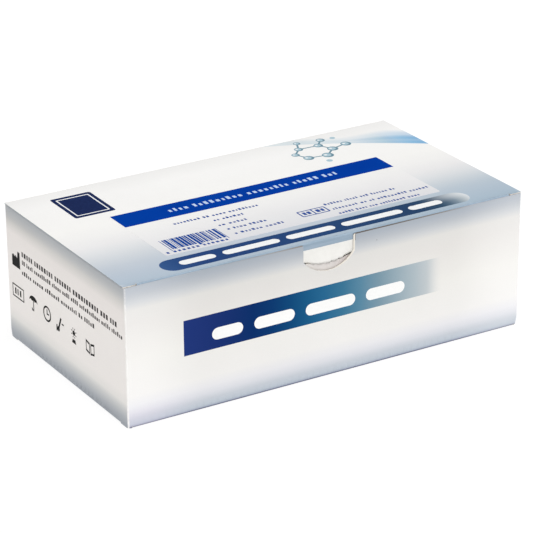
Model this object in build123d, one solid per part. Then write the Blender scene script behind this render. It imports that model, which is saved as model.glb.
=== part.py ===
from build123d import *
import math
import os

# Folding carton of coated white paperboard with a tuck-in lid, shown closed.
# Millimetres.  +X to the right along the length, front panel towards -Y, +Z up.
# Origin: middle of the footprint, on the surface the carton stands on.

# ---- driving dimensions -------------------------------------------------
LENGTH = 220.0          # lid, left to right
DEPTH = 122.0           # front panel to back panel, outside
LID_TOP = 70.5          # outer face of the lid above the table
T = 0.5                 # board thickness
R_FOLD = 0.35           # inside radius of a crease
OVERHANG = 0.3          # lid beyond the side panels, each end
BODY = LENGTH - 2 * OVERHANG
LID_GAP = 0.1           # lid to the flaps under it, and tuck flap to front panel
FRONT_TOP = 69.95       # raw top edge of the front panel
BACK_TOP = 69.95        # back panel, just under the lid's crease
DUST_TOP = LID_TOP - T - LID_GAP

# thumb notch in the front panel
NOTCH_X = -1.5
NOTCH_W = 27.8
NOTCH_STRAIGHT = 8.3
NOTCH_SAG = 7.2

# tuck flap on the lid's front edge
TUCK_DEPTH = 20.0
TUCK_LEAN = 5.5         # degrees inward, so that it swings clear of the front panel
TUCK_HALF = 107.5       # half width at its ends
SLIT_LEN = 7.0          # slit lock: cut along the crease from each end of the lid
SLIT_GAP = 0.6
TUCK_CORNER = 12.0
THUMB_SLIT_W = 24.6     # curved slit in the tuck flap, inside the notch
THUMB_SLIT_END = 9.9    # below the lid's face, at the slit's ends
THUMB_SLIT_SAG = 2.5
THUMB_SLIT_GAP = 0.35

# dust flaps on the side panels
DUST_LEN = 57.0
DUST_FRONT = -58.4
DUST_BACK = 59.0

# interlocked bottom: four flaps in layers
LAYER = T + 0.15        # pitch of the layers
LAP = 1.0               # straight stretch of a panel drawn with its fold
CORNER_POST = 2.2       # stretch of each panel next to a corner with no flap

# glue flap inside the right panel
GLUE_W = 15.0

# self-adhesive label on the lid
LABEL_X0, LABEL_X1 = -75.8, 77.1
LABEL_Y0, LABEL_Y1 = -39.1, 17.5
LABEL_T = 0.1
LABEL_R = 1.2

R_OUT = R_FOLD + T
HX, HY = BODY / 2, DEPTH / 2


# ---- helpers ------------------------------------------------------------
def offset_line(pts, d):
    """Mitred offset of an open polyline, to its left by d."""
    out = []
    n = len(pts)
    dirs = []
    for a, b in zip(pts[:-1], pts[1:]):
        l = math.hypot(b[0] - a[0], b[1] - a[1])
        dirs.append(((b[0] - a[0]) / l, (b[1] - a[1]) / l))
    for i, p in enumerate(pts):
        if i == 0 or i == n - 1:
            u = dirs[0] if i == 0 else dirs[-1]
            out.append((p[0] - u[1] * d, p[1] + u[0] * d))
        else:
            u, v = dirs[i - 1], dirs[i]
            nx, ny = -u[1] - v[1], u[0] + v[0]
            k = d / (1 + u[0] * v[0] + u[1] * v[1])
            out.append((p[0] + nx * k, p[1] + ny * k))
    return out


def board_section(pts, radii):
    """Face of a folded board: corners of its middle line, inside radius of each fold."""
    left, right = offset_line(pts, T / 2), offset_line(pts, -T / 2)
    r_left, r_right = [], []
    for i in range(1, len(pts) - 1):
        a, b, c = pts[i - 1], pts[i], pts[i + 1]
        turn = (b[0] - a[0]) * (c[1] - b[1]) - (b[1] - a[1]) * (c[0] - b[0])
        r = radii[i - 1]
        r_left.append(r if turn > 0 else r + T)
        r_right.append(r + T if turn > 0 else r)
    edges = [
        FilletPolyline(*left, radius=r_left),
        Line(left[-1], right[-1]),
        FilletPolyline(*right, radius=r_right),
        Line(right[0], left[0]),
    ]
    return make_face(edges)


def outline_xy(pts, z0, z1):
    return extrude(Plane.XY.offset(z0) * make_face(Polyline(*pts, close=True)), z1 - z0)


def along_x(section, half):
    """A section drawn in (Y, Z), swept both ways along X."""
    return extrude(Plane.YZ * section, half, both=True)


def along_y(section, y0, y1):
    """A section drawn in (X, Z), swept from y0 to y1."""
    return extrude(Plane.XZ.offset(-y0) * section, -(y1 - y0))


def block(x0, x1, y0, y1, z0, z1):
    return Pos((x0 + x1) / 2, (y0 + y1) / 2, (z0 + z1) / 2) * Box(x1 - x0, y1 - y0, z1 - z0)


# ---- carton body: tube of four panels -----------------------------------
ring = RectangleRounded(BODY, DEPTH, R_OUT) - RectangleRounded(BODY - 2 * T, DEPTH - 2 * T, R_FOLD)
tube = extrude(ring, FRONT_TOP)

# the side panels turn over into the dust flaps, clear of the corners
for s in (-1, 1):
    x0, x1 = sorted((s * (HX - R_OUT), s * (HX + 1)))
    tube -= block(x0, x1, -HY + R_OUT, HY - R_OUT, DUST_TOP - R_OUT, FRONT_TOP + 1)

# the panels turn under into the bottom flaps, clear of the corners
z_fold = R_OUT
tube -= block(-HX + CORNER_POST, HX - CORNER_POST, -HY - 1, HY + 1, -1, z_fold)
SIDE_HINGE = 53.5
for s in (-1, 1):
    x0, x1 = sorted((s * (HX - R_OUT), s * (HX + 1)))
    tube -= block(x0, x1, -SIDE_HINGE, SIDE_HINGE, -1, z_fold)

# back right corner: the back panel folds round into the glue flap, and the raw edge of
# the right panel lies over it
fold_c = (HX - T - R_OUT, HY - R_OUT)
tube -= block(fold_c[0], HX + 1, HY - 1.0, HY + 1, -1, FRONT_TOP + 1)
quarter = Pos(*fold_c) * (Circle(R_OUT) - Circle(R_FOLD)) & (
    Pos(fold_c[0] + 1, fold_c[1] + 1) * Rectangle(2, 2))
tube += extrude(quarter, FRONT_TOP)
glue = make_face(Polyline((fold_c[1], 1.5), (fold_c[1], 68.0), (HY - T - GLUE_W, 62.0),
                          (HY - T - GLUE_W, 7.5), close=True))
tube += Pos(HX - 2 * T, 0, 0) * extrude(Plane.YZ * glue, T)

# ---- dust flaps -----------------------------------------------------------
zc = DUST_TOP - T / 2
dust_shape = [(HX + 1, DUST_FRONT), (100.0, DUST_FRONT), (95.0, -53.0), (58.0, -47.0),
              (HX - DUST_LEN, -41.0), (HX - DUST_LEN, 48.0), (58.0, 54.0), (106.0, 57.5),
              (107.5, DUST_BACK), (HX + 1, DUST_BACK)]
for s in (-1, 1):
    sec = board_section([(s * (HX - T / 2), DUST_TOP - R_OUT - LAP), (s * (HX - T / 2), zc),
                         (s * (HX - DUST_LEN), zc)], [R_FOLD])
    flap = along_y(sec, DUST_FRONT, DUST_BACK)
    flap = flap & outline_xy([(s * x, y) for x, y in dust_shape], 60, 75)
    tube += flap

# ---- bottom flaps, interlocked --------------------------------------------
z0 = T / 2
z1 = z0 + LAYER
z2 = z0 + 2 * LAYER
z3 = z0 + 3 * LAYER

# front flap, outermost, its tongue rises through the slot over the back flap
front_sec = board_section(
    [(-HY + T / 2, z_fold + LAP), (-HY + T / 2, z0), (-3.5, z0), (3.5, z3), (21.0, z3)],
    [R_FOLD, 1.5, 1.5])
front_flap = along_x(front_sec, HX) & outline_xy(
    [(-107.5, -HY - 1), (107.5, -HY - 1), (107.5, -HY + 1.5), (104.3, -55.0), (104.3, -9.0), (100.0, -5.0),
     (54.0, -5.0), (52.0, -3.0), (49.0, 12.0), (44.0, 20.5), (-44.0, 20.5), (-49.0, 12.0),
     (-52.0, -3.0), (-54.0, -5.0), (-100.0, -5.0), (-104.3, -9.0), (-104.3, -55.0),
     (-107.5, -HY + 1.5)], -1, 5)

# back flap, innermost, with two legs and a recess between them
back_sec = board_section(
    [(HY - T / 2, z_fold + LAP), (HY - T / 2, z0), (HY - 2.2, z0), (54.5, z2), (-14.5, z2)],
    [R_FOLD, 0.8, 1.5])
back_flap = along_x(back_sec, HX) & outline_xy(
    [(-107.5, HY + 1), (-107.5, HY - 1.5), (-106.0, 54.0), (-104.0, -8.0), (-98.0, -14.0),
     (-72.0, -14.0), (-62.0, -4.0), (-57.0, 5.5), (57.0, 5.5), (62.0, -4.0), (72.0, -14.0),
     (98.0, -14.0), (104.0, -8.0), (106.0, 54.0), (107.5, HY - 1.5), (107.5, HY + 1)], -1, 5)

bottom = [front_flap, back_flap]
for s in (-1, 1):
    sec = board_section(
        [(s * (HX - T / 2), z_fold + LAP), (s * (HX - T / 2), z0), (s * (HX - 1.9), z0),
         (s * 104.8, z1), (s * 60.0, z1)], [R_FOLD, 0.8, 1.5])
    flap = along_y(sec, -SIDE_HINGE, SIDE_HINGE)
    bottom.append(flap & outline_xy(
        [(s * x, y) for x, y in ((HX + 1, -SIDE_HINGE), (104.0, -SIDE_HINGE), (98.0, -44.0),
                                 (66.0, -24.0), (60.0, -18.0), (60.0, 44.0), (66.0, 50.0),
                                 (HX + 1, SIDE_HINGE))], -1, 5))
for f in bottom:
    tube += f

# ---- thumb notch and the small nick in the front bottom crease ----------
nx0, nx1 = NOTCH_X - NOTCH_W / 2, NOTCH_X + NOTCH_W / 2
nz = FRONT_TOP - NOTCH_STRAIGHT
notch = make_face([
    Line((nx0, nz), (nx0, FRONT_TOP + 2)),
    Line((nx0, FRONT_TOP + 2), (nx1, FRONT_TOP + 2)),
    Line((nx1, FRONT_TOP + 2), (nx1, nz)),
    ThreePointArc((nx1, nz), (NOTCH_X, nz - NOTCH_SAG), (nx0, nz)),
])
tube -= along_y(notch, -HY - 1, -HY + 1)
nick = Pos(5.6, -HY, 0) * (Rot(90, 0, 0) * Cylinder(0.6, 1.6))
carton_body = tube - nick

# ---- lid: panel, fold, tuck flap ------------------------------------------
zl = LID_TOP - T / 2
hinge_y = HY - T / 2
fold_y = -HY + T + LID_GAP + R_OUT          # centre of the fold's arc
fold_z = LID_TOP - R_OUT
lean = math.radians(TUCK_LEAN)
turn = math.radians(90 + TUCK_LEAN)
bx, bz = -math.cos(lean), 1 - math.sin(lean)
bl = math.hypot(bx, bz)
corner_d = (R_FOLD + T / 2) / math.cos(turn / 2)
corner = (fold_y + bx / bl * corner_d, fold_z + bz / bl * corner_d)
run = (TUCK_DEPTH - T / 2) / math.cos(lean)
tip = (corner[0] + run * math.sin(lean), corner[1] - run * math.cos(lean))
lid_sec = board_section([(hinge_y, zl), corner, tip], [R_FOLD])
lid = along_x(lid_sec, TUCK_HALF)

# the ends of the lid, past the flap, and the ears over the slits
slit_x = LENGTH / 2 - SLIT_LEN
for s in (-1, 1):
    x0, x1 = sorted((s * slit_x, s * (TUCK_HALF + 1)))
    lid -= block(x0, x1, -HY - 1, fold_y + 1, LID_TOP - T - SLIT_GAP, LID_TOP + 1)
    x0, x1 = sorted((s * slit_x, s * LENGTH / 2))
    lid += block(x0, x1, -HY + T + LID_GAP, hinge_y, LID_TOP - T, LID_TOP)

# outline of the tuck flap seen from the front
tuck = make_face(FilletPolyline(
    (TUCK_HALF + 5, LID_TOP + 2), (TUCK_HALF + 5, LID_TOP - T - SLIT_GAP / 2),
    (TUCK_HALF, LID_TOP - T - SLIT_GAP / 2), (TUCK_HALF - 3.0, LID_TOP - TUCK_DEPTH),
    (-TUCK_HALF + 3.0, LID_TOP - TUCK_DEPTH), (-TUCK_HALF, LID_TOP - T - SLIT_GAP / 2),
    (-TUCK_HALF - 5, LID_TOP - T - SLIT_GAP / 2), (-TUCK_HALF - 5, LID_TOP + 2),
    radius=[0.05, 0.05, TUCK_CORNER, TUCK_CORNER, 0.05, 0.05]).edges()
    + [Line((-TUCK_HALF - 5, LID_TOP + 2), (TUCK_HALF + 5, LID_TOP + 2))])
front_zone = along_y(tuck, -HY - 2, -HY + 8)
lid = lid & (front_zone + block(-LENGTH / 2 - 1, LENGTH / 2 + 1, -HY + 8, HY + 2, 60, 75))

# rounded bead at the hinge crease
lid += Pos(0, hinge_y, zl) * (Rot(0, 90, 0) * Cylinder(T / 2, LENGTH - 2 * OVERHANG))

# curved slit in the tuck flap
hw, sag = THUMB_SLIT_W / 2, THUMB_SLIT_SAG
ze = LID_TOP - THUMB_SLIT_END
slit = make_face([
    ThreePointArc((NOTCH_X - hw, ze), (NOTCH_X, ze - sag), (NOTCH_X + hw, ze)),
    Line((NOTCH_X + hw, ze), (NOTCH_X + hw, ze - THUMB_SLIT_GAP)),
    ThreePointArc((NOTCH_X + hw, ze - THUMB_SLIT_GAP), (NOTCH_X, ze - sag - THUMB_SLIT_GAP),
                  (NOTCH_X - hw, ze - THUMB_SLIT_GAP)),
    Line((NOTCH_X - hw, ze - THUMB_SLIT_GAP), (NOTCH_X - hw, ze)),
])
lid -= along_y(slit, -HY - 1, -HY + 8)
for s in (-1, 1):
    lid -= Pos(NOTCH_X + s * hw, -HY + 3.5, ze - THUMB_SLIT_GAP / 2) * (Rot(90, 0, 0) * Cylinder(0.42, 9))

# ---- label -----------------------------------------------------------------
label = extrude(Plane.XY.offset(LID_TOP) * (
    Pos((LABEL_X0 + LABEL_X1) / 2, (LABEL_Y0 + LABEL_Y1) / 2)
    * RectangleRounded(LABEL_X1 - LABEL_X0, LABEL_Y1 - LABEL_Y0, LABEL_R)), LABEL_T)

# ---- write ------------------------------------------------------------------
os.makedirs("parts", exist_ok=True)
for name, shape in (("carton_body", carton_body), ("lid", lid), ("lid_label", label)):
    solids = shape.solids()
    print(name, len(solids), "solid", round(sum(s.volume for s in solids), 1), "mm3",
          "valid", all(s.is_valid for s in solids))
    export_step(solids[0] if len(solids) == 1 else Compound(solids), f"parts/{name}.step")
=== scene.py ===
import math

import bpy
import numpy as np
from mathutils import Matrix, Vector
from mathutils.geometry import delaunay_2d_cdt


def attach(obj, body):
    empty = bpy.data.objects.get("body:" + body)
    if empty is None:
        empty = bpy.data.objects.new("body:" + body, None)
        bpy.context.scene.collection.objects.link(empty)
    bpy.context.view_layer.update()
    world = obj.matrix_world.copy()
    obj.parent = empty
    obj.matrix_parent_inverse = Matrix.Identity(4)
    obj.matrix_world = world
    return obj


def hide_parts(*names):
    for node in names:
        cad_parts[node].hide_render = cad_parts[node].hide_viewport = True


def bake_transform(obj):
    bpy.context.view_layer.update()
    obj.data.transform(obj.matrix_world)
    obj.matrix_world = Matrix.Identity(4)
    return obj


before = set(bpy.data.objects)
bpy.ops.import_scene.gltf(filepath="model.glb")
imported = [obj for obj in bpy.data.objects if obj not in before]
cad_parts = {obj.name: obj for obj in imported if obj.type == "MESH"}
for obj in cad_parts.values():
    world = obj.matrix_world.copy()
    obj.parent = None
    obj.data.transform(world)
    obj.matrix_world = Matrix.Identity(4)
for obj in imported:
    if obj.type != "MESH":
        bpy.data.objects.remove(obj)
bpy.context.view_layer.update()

# Printed paperboard carton with a tuck-in lid.  The board is modelled as the flat blank it is
# cut from: print areas, creases and cut edges are drawn on the flat sheet, which is then folded
# up with its real thickness.  Lengths in this part are millimetres, scaled to metres at the end.

MM = 0.001
T = 0.5                     # board thickness
RM = 0.6                    # radius of the board's middle line in a crease
QUARTER = RM * math.pi / 2
HX, HY = 109.7, 61.0        # carton body, half length and half depth
LX = 110.0                  # lid, half length
TOP = 70.5                  # lid's outer face
PANEL_TOP = 69.95


# =========================================================================
#  small geometry helpers
# =========================================================================
def unit(v):
    v = np.asarray(v, float)
    return v / np.linalg.norm(v)


class Path:
    """Straight runs joined by arcs in a plane, followed by length."""

    def __init__(self, pts, radii):
        p = [np.array(q, float) for q in pts]
        self.segs, self.marks = [], []
        length, cur = 0.0, p[0]
        for i in range(1, len(p)):
            u = unit(p[i] - p[i - 1])
            if i < len(p) - 1:
                v = unit(p[i + 1] - p[i])
                turn = math.atan2(u[0] * v[1] - u[1] * v[0], float(u @ v))
                r = radii[i - 1]
                t = r * math.tan(abs(turn) / 2)
                a = p[i] - u * t
                run = float(np.linalg.norm(a - cur))
                self.segs.append((length, length + run, "line", cur, u, 0.0, 0.0))
                length += run
                side = 1.0 if turn > 0 else -1.0
                centre = a + np.array([-u[1], u[0]]) * side * r
                arc = r * abs(turn)
                self.segs.append((length, length + arc, "arc", centre, u, r * side, turn))
                steps = max(2, int(math.ceil(abs(turn) / math.radians(15))))
                self.marks += [length + arc * k / steps for k in range(steps + 1)]
                length += arc
                cur = p[i] + v * t
            else:
                run = float(np.linalg.norm(p[i] - cur))
                self.segs.append((length, length + run, "line", cur, u, 0.0, 0.0))
                length += run
        self.length = length

    def at(self, l):
        seg = self.segs[0]
        for seg in self.segs:
            if l <= seg[1]:
                break
        l0, l1, kind, a, u, r, turn = seg
        if kind == "line":
            return a + u * (l - l0), u
        f = (l - l0) / (l1 - l0) * turn
        c, s = math.cos(f), math.sin(f)
        d = np.array([u[0] * c - u[1] * s, u[0] * s + u[1] * c])
        return a + np.array([d[1], -d[0]]) * r, d

    def length_at(self, value, axis, lo, hi):
        """The length between lo and hi where the coordinate has that value."""
        rising = self.at(hi)[0][axis] > self.at(lo)[0][axis]
        for _ in range(40):
            mid = (lo + hi) / 2
            if (self.at(mid)[0][axis] < value) == rising:
                lo = mid
            else:
                hi = mid
        return (lo + hi) / 2


def inside(poly, pts):
    found = np.zeros(len(pts), bool)
    if not len(pts):
        return found
    x, y = pts[:, 0], pts[:, 1]
    lo, hi = np.min(poly, 0), np.max(poly, 0)
    near = np.where((x > lo[0]) & (x < hi[0]) & (y > lo[1]) & (y < hi[1]))[0]
    if not len(near):
        return found
    x, y = x[near], y[near]
    c = np.zeros(len(near), bool)
    j = len(poly) - 1
    for i in range(len(poly)):
        xi, yi = poly[i]
        xj, yj = poly[j]
        if yi != yj:
            c ^= ((yi > y) != (yj > y)) & (x < (xj - xi) * (y - yi) / (yj - yi) + xi)
        j = i
    found[near[c]] = True
    return found


def smooth(t):
    t = min(1.0, max(0.0, t))
    return t * t * (3 - 2 * t)


def hump(t):
    """1 in the middle of 0..1, 0 at the ends."""
    t = min(1.0, max(0.0, t))
    return 1 - (2 * t - 1) ** 2


def split_line(pts, step, closed=False):
    out = []
    n = len(pts)
    for i in range(n if closed else n - 1):
        a, b = pts[i], pts[(i + 1) % n]
        k = max(1, int(math.ceil(math.hypot(b[0] - a[0], b[1] - a[1]) / step)))
        for j in range(k):
            out.append((a[0] + (b[0] - a[0]) * j / k, a[1] + (b[1] - a[1]) * j / k))
    if not closed:
        out.append(tuple(pts[-1]))
    return out


def rect(x0, y0, x1, y1):
    return [(x0, y0), (x1, y0), (x1, y1), (x0, y1)]


def rounded(x0, y0, x1, y1, r, n=4):
    out = []
    for cx, cy, a0 in ((x1 - r, y0 + r, -90), (x1 - r, y1 - r, 0), (x0 + r, y1 - r, 90), (x0 + r, y0 + r, 180)):
        for k in range(n + 1):
            a = math.radians(a0 + 90 * k / n)
            out.append((cx + r * math.cos(a), cy + r * math.sin(a)))
    return out


def disc(cx, cy, r, n=20, ry=None, turn=0.0):
    ry = r if ry is None else ry
    c, s = math.cos(turn), math.sin(turn)
    out = []
    for k in range(n):
        a = 2 * math.pi * k / n
        x, y = r * math.cos(a), ry * math.sin(a)
        out.append((cx + x * c - y * s, cy + x * s + y * c))
    return out


def bar(x0, y0, x1, y1, w):
    l = math.hypot(x1 - x0, y1 - y0)
    nx, ny = -(y1 - y0) / l * w / 2, (x1 - x0) / l * w / 2
    return [(x0 + nx, y0 + ny), (x0 - nx, y0 - ny), (x1 - nx, y1 - ny), (x1 + nx, y1 + ny)]


# =========================================================================
#  a folded sheet of board
# =========================================================================
class Sheet:
    """outline and holes: closed lines on the flat sheet.  creases: open lines.
    art: (closed line, material) with later ones on top.  place(s, b, zone) gives a point of the
    board's middle surface; flip turns the outer side over."""

    def __init__(self, name, outline, holes, creases, art, place, zone, base, inner, edge,
                 thickness=T, step=4.0, flip=False, wear=None, uv=None, art_step=6.0):
        pts, edges = [], []

        def add(line, closed):
            first = len(pts)
            pts.extend(line)
            n = len(line)
            edges.extend((first + i, first + (i + 1) % n) for i in range(n if closed else n - 1))

        out = split_line(outline, step, True)
        add(out, True)
        cut = [split_line(h, step, True) for h in holes]
        for h in cut:
            add(h, True)
        for c in creases:
            add(split_line(c, step), False)
        for poly, _ in art:
            add(split_line(poly, art_step, True), True)
        lo, hi = np.min(out, 0), np.max(out, 0)
        taken = np.array(pts)
        gx = np.arange(lo[0] + step / 2, hi[0], step)
        gy = np.arange(lo[1] + step / 2, hi[1], step)
        grid = np.array([(x, y) for x in gx for y in gy])
        cells = {}
        for x, y in taken:
            cells.setdefault((int(x // 2), int(y // 2)), []).append((x, y))
        keep = []
        for x, y in grid[inside(np.array(out), grid)]:
            near = [q for i in (-1, 0, 1) for j in (-1, 0, 1)
                    for q in cells.get((int(x // 2) + i, int(y // 2) + j), ())]
            if all((x - a) ** 2 + (y - b) ** 2 > 1.4 ** 2 for a, b in near):
                keep.append((x, y))
        pts.extend(keep)
        v, _, f, _, _, _ = delaunay_2d_cdt([Vector(p) for p in pts], edges, [], 0, 1e-5, True)
        v = np.array([(p[0], p[1]) for p in v])
        f = np.array([t for t in f if len(t) == 3])
        mid = v[f].mean(1)
        ok = inside(np.array(out), mid)
        for h in cut:
            ok &= ~inside(np.array(h), mid)
        a, b, c = v[f[:, 0]], v[f[:, 1]], v[f[:, 2]]
        area = (b[:, 0] - a[:, 0]) * (c[:, 1] - a[:, 1]) - (b[:, 1] - a[:, 1]) * (c[:, 0] - a[:, 0])
        f[area < 0] = f[area < 0][:, ::-1]
        ok &= abs(area) > 1e-9
        f, mid = f[ok], mid[ok]
        mats = np.array([base(s, b) for s, b in mid])
        for poly, m in art:
            mats[inside(np.array(poly), mid)] = m
        used = np.unique(f)
        index = -np.ones(len(v), int)
        index[used] = np.arange(len(used))
        v, f = v[used], index[f]

        # zone of each vertex, taken from inside the sheet so that a cut keeps its two sides apart
        n = len(v)
        P = np.zeros((n, 3))
        N = np.zeros((n, 3))
        h = 0.01
        for i, (s, b) in enumerate(v):
            z = zone(s, b)
            P[i] = place(s, b, z)
            ds = place(s + h, b, z) - place(s - h, b, z)
            db = place(s, b + h, z) - place(s, b - h, z)
            m = np.cross(ds, db)
            N[i] = m / np.linalg.norm(m)
        if flip:
            N = -N
        half = thickness / 2
        outer, lower = P + N * half, P - N * half
        tri = f if not flip else f[:, ::-1]

        # rim: the edges that only one triangle has
        count = {}
        for t in tri:
            for i in range(3):
                e = (t[i], t[(i + 1) % 3])
                count[e] = count.get(e, 0) + 1
        rim = [e for e in count if (e[1], e[0]) not in count]

        verts = np.concatenate([outer, lower]) * MM
        faces = [tuple(t) for t in tri] + [tuple(t[::-1] + n) for t in tri]
        faces += [(b_, a_, a_ + n, b_ + n) for a_, b_ in rim]
        pick = edge if callable(edge) else (lambda s, b: edge)
        index = list(mats) + [inner] * len(tri) + [pick(*((v[a_] + v[b_]) / 2)) for a_, b_ in rim]

        me = bpy.data.meshes.new(name)
        me.from_pydata([tuple(p) for p in verts], [], faces)
        self.mesh = me
        self.flat = v
        ob = bpy.data.objects.new(name, me)
        bpy.context.scene.collection.objects.link(ob)
        self.ob = ob
        me.polygons.foreach_set("material_index", np.array(index, np.int32))
        me.polygons.foreach_set("use_smooth", np.ones(len(faces), bool))

        # normals: those of the folded sheet itself, and flat ones on the cut edge
        normals = []
        for t in tri:
            normals += [tuple(N[i]) for i in t]
        for t in tri:
            normals += [tuple(-N[i]) for i in t[::-1]]
        for a_, b_ in rim:
            q = [verts[b_], verts[a_], verts[a_ + n], verts[b_ + n]]
            m = np.cross(q[1] - q[0], q[3] - q[0])
            m = m / max(np.linalg.norm(m), 1e-12)
            normals += [tuple(m)] * 4
        me.normals_split_custom_set(normals)

        if wear is not None:
            w = np.array([wear(s, b) for s, b in v])
            at = me.attributes.new("wear", "FLOAT", "POINT")
            at.data.foreach_set("value", np.concatenate([w, w * 0]).astype(np.float32))

        # a map of the flat sheet, laid out in islands
        if uv is not None:
            layer = me.uv_layers.new(name="OFBake")
            found = []
            for k, t in enumerate(tri):
                found += uv(v[t], mid[k], 0)
            for k, t in enumerate(tri):
                found += uv(v[t[::-1]], mid[k], 1)
            for a_, b_ in rim:
                found += uv(np.array([v[b_], v[a_], v[a_], v[b_]]), (v[a_] + v[b_]) / 2, 2)
            layer.data.foreach_set("uv", np.array(found, np.float32).ravel())
        me.update()


class Islands:
    """Packs rectangles of the flat sheet into one square map, row by row."""

    def __init__(self, size=1024, gap=4):
        self.size, self.gap, self.at, self.x, self.y, self.row = size, gap, {}, gap, gap, 0

    def add(self, key, s0, b0, s1, b1, scale, turned=False):
        w, h = (s1 - s0) * scale, (b1 - b0) * scale
        if turned:
            w, h = h, w
        if self.x + w + self.gap > self.size:
            self.x, self.y, self.row = self.gap, self.y + self.row + self.gap, 0
        self.at[key] = (s0, b0, scale, self.x, self.y, turned)
        self.x += w + self.gap
        self.row = max(self.row, h)
        return self.y + self.row

    def place(self, key, pts):
        s0, b0, scale, x, y, turned = self.at[key]
        out = []
        for s, b in pts:
            u, w = (s - s0) * scale, (b - b0) * scale
            if turned:
                u, w = w, u
            out.append(((x + u) / self.size, (y + w) / self.size))
        return out


# =========================================================================
#  materials
# =========================================================================
def colour(r, g, b):
    def lin(c):
        c = c / 255.0
        return c / 12.92 if c <= 0.04045 else ((c + 0.055) / 1.055) ** 2.4
    return (lin(r), lin(g), lin(b), 1.0)


class Mat:
    def __init__(self, name):
        self.m = bpy.data.materials.new(name)
        self.m.use_nodes = True
        self.t = self.m.node_tree
        self.t.nodes.clear()
        out = self.node("ShaderNodeOutputMaterial")
        self.bsdf = self.node("ShaderNodeBsdfPrincipled")
        self.link(self.bsdf.outputs[0], out.inputs[0])
        self.pos = self.node("ShaderNodeTexCoord").outputs["Object"]
        sep = self.node("ShaderNodeSeparateXYZ")
        self.link(self.pos, sep.inputs[0])
        self.x, self.y, self.z = sep.outputs

    def node(self, kind, **props):
        n = self.t.nodes.new(kind)
        for k, v in props.items():
            setattr(n, k, v)
        return n

    def link(self, a, b):
        self.t.links.new(a, b)

    def put(self, socket, value):
        if isinstance(value, bpy.types.NodeSocket):
            self.link(value, socket)
        else:
            socket.default_value = value

    def math(self, op, a, b=0.0, c=0.0):
        n = self.node("ShaderNodeMath", operation=op)
        self.put(n.inputs[0], a)
        self.put(n.inputs[1], b)
        self.put(n.inputs[2], c)
        return n.outputs[0]

    def span(self, value, a, b, c=0.0, d=1.0, kind="SMOOTHSTEP"):
        n = self.node("ShaderNodeMapRange", interpolation_type=kind, clamp=True)
        self.put(n.inputs[0], value)
        for i, v in enumerate((a, b, c, d)):
            n.inputs[i + 1].default_value = v
        return n.outputs[0]

    def noise(self, size, detail=2.0, rough=0.5, stretch=(1, 1, 1), shift=0.0):
        """Noise whose features measure about size millimetres."""
        mapping = self.node("ShaderNodeMapping")
        self.link(self.pos, mapping.inputs[0])
        mapping.inputs["Scale"].default_value = stretch
        mapping.inputs["Location"].default_value = (shift, shift * 0.7, shift * 1.3)
        n = self.node("ShaderNodeTexNoise")
        self.link(mapping.outputs[0], n.inputs["Vector"])
        n.inputs["Scale"].default_value = 1000.0 / size
        n.inputs["Detail"].default_value = detail
        n.inputs["Roughness"].default_value = rough
        return n.outputs["Fac"]

    def ramp(self, fac, stops, interp="LINEAR"):
        n = self.node("ShaderNodeValToRGB")
        n.color_ramp.interpolation = interp
        e = n.color_ramp.elements
        while len(e) > 1:
            e.remove(e[-1])
        e[0].position, e[0].color = stops[0]
        for p, c in stops[1:]:
            k = e.new(p)
            k.color = c
        self.put(n.inputs[0], fac)
        return n.outputs[0]

    def along(self, value, lo, hi, stops, interp="LINEAR"):
        """A gradient between lo and hi millimetres; stops are (millimetres, colour)."""
        f = self.span(value, lo * MM, hi * MM, kind="LINEAR")
        return self.ramp(f, [((p - lo) / (hi - lo), c) for p, c in stops], interp)

    def mix(self, fac, a, b, kind="MIX"):
        n = self.node("ShaderNodeMix", data_type="RGBA", blend_type=kind, clamp_result=False)
        self.put(n.inputs[0], fac)
        self.put(n.inputs[6], a)
        self.put(n.inputs[7], b)
        return n.outputs[2]

    def finish(self, base, rough=0.42, rough_var=0.06, bump=0.5, fine=0.9, wave=22.0, spec=0.08,
               fibre=None, mottle=0.012):
        # slow tone changes of the sheet and the faint grain of the paper under the print
        slow = self.span(self.noise(34.0, 3.0, 0.55, shift=3.1), 0.3, 0.7, 1 - mottle, 1 + mottle, "LINEAR")
        grain = self.span(self.noise(0.7, 3.0, 0.6, shift=1.7), 0.25, 0.75, 1 - mottle, 1 + mottle, "LINEAR")
        tone = self.math("MULTIPLY", slow, grain)
        self.put(self.bsdf.inputs["Base Color"], self.mix(1.0, base, tone, "MULTIPLY"))
        r = self.span(self.noise(6.0, 4.0, 0.6, shift=5.0), 0.3, 0.7, rough - rough_var, rough + rough_var, "LINEAR")
        self.put(self.bsdf.inputs["Roughness"], r)
        self.bsdf.inputs["Specular IOR Level"].default_value = spec
        # coating: fine orange peel over a slow unevenness of the board
        peel = self.noise(fine, 2.0, 0.5, shift=7.0)
        slow_b = self.noise(wave, 2.0, 0.4, shift=9.0)
        height = self.math("ADD", self.math("MULTIPLY", peel, 0.012), self.math("MULTIPLY", slow_b, 0.35))
        if fibre is not None:
            f1 = self.noise(0.55, 4.0, 0.7, stretch=(0.25, 1.0, 1.0), shift=11.0)
            f2 = self.noise(0.45, 3.0, 0.7, stretch=(1.0, 0.3, 1.0), shift=13.0)
            height = self.math("ADD", height, self.math("MULTIPLY", self.math("ADD", f1, f2), fibre))
        b = self.node("ShaderNodeBump")
        b.inputs["Strength"].default_value = bump
        b.inputs["Distance"].default_value = 0.001
        self.link(height, b.inputs["Height"])
        self.link(b.outputs[0], self.bsdf.inputs["Normal"])
        return self.m


WHITE_BOARD = colour(243, 243, 241)

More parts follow.
